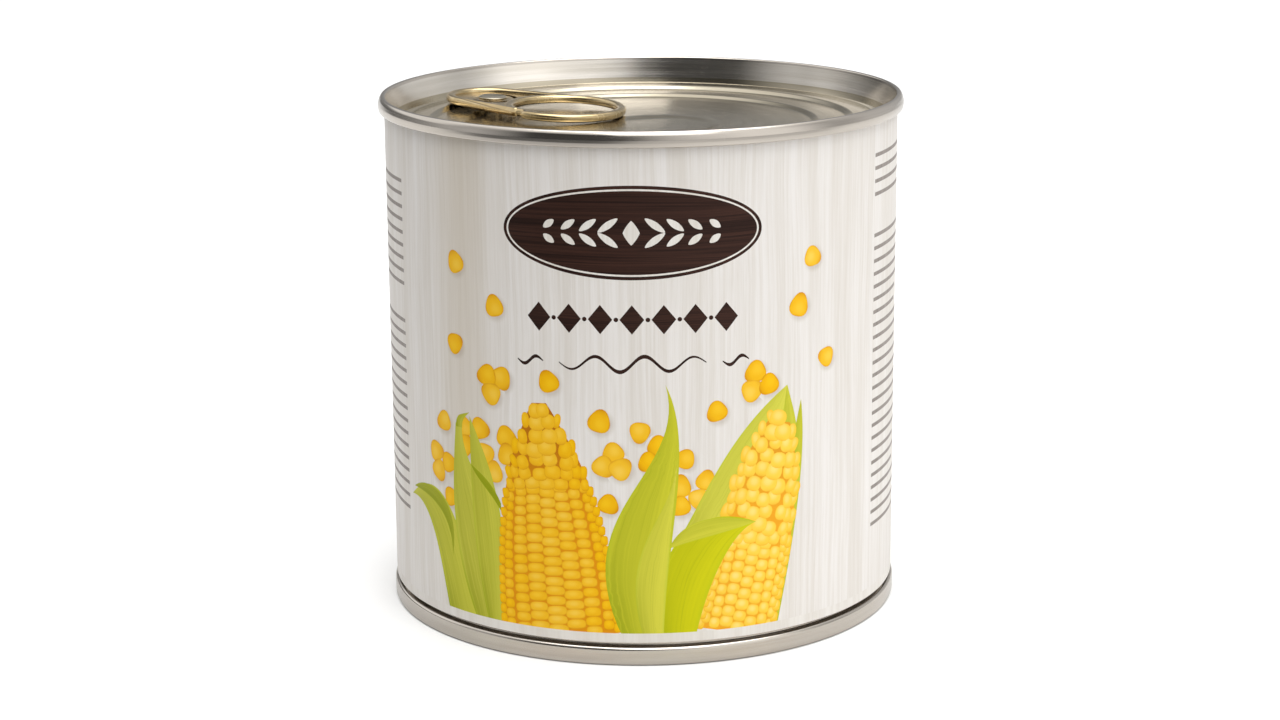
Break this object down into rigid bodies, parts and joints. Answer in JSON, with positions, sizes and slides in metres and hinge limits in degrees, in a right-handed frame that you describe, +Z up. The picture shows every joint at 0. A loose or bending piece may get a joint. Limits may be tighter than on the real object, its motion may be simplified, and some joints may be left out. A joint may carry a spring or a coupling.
{
  "type": "can of sweet corn",
  "caption": "Squat unopened food can with a paper wrap label, a seamed ring-pull end on top and a smaller seamed end it stands on.",
  "frame": {"origin": "centre of the ring the can stands on, at the foot of the bottom seam", "axes": "+Z up along the can's axis; -Y is the label's front; the tab's nose points to the back left"},
  "size_m": [0.0866, 0.0866, 0.085],
  "materials": {
    "tinplate": "tinplate, satin",
    "label_paper": "coated printed paper, semi-matt",
    "end_steel": "tinplate end, fine circular and straight rolling marks",
    "tab_lacquer": "clear gold lacquer over tinplate, glossy"
  },
  "bodies": {
    "root": {"can_wall": "tinplate", "label": "label_paper", "top_end": "end_steel", "bottom_end": "end_steel", "pull_tab": "tab_lacquer"}
  },
  "joints": []
}
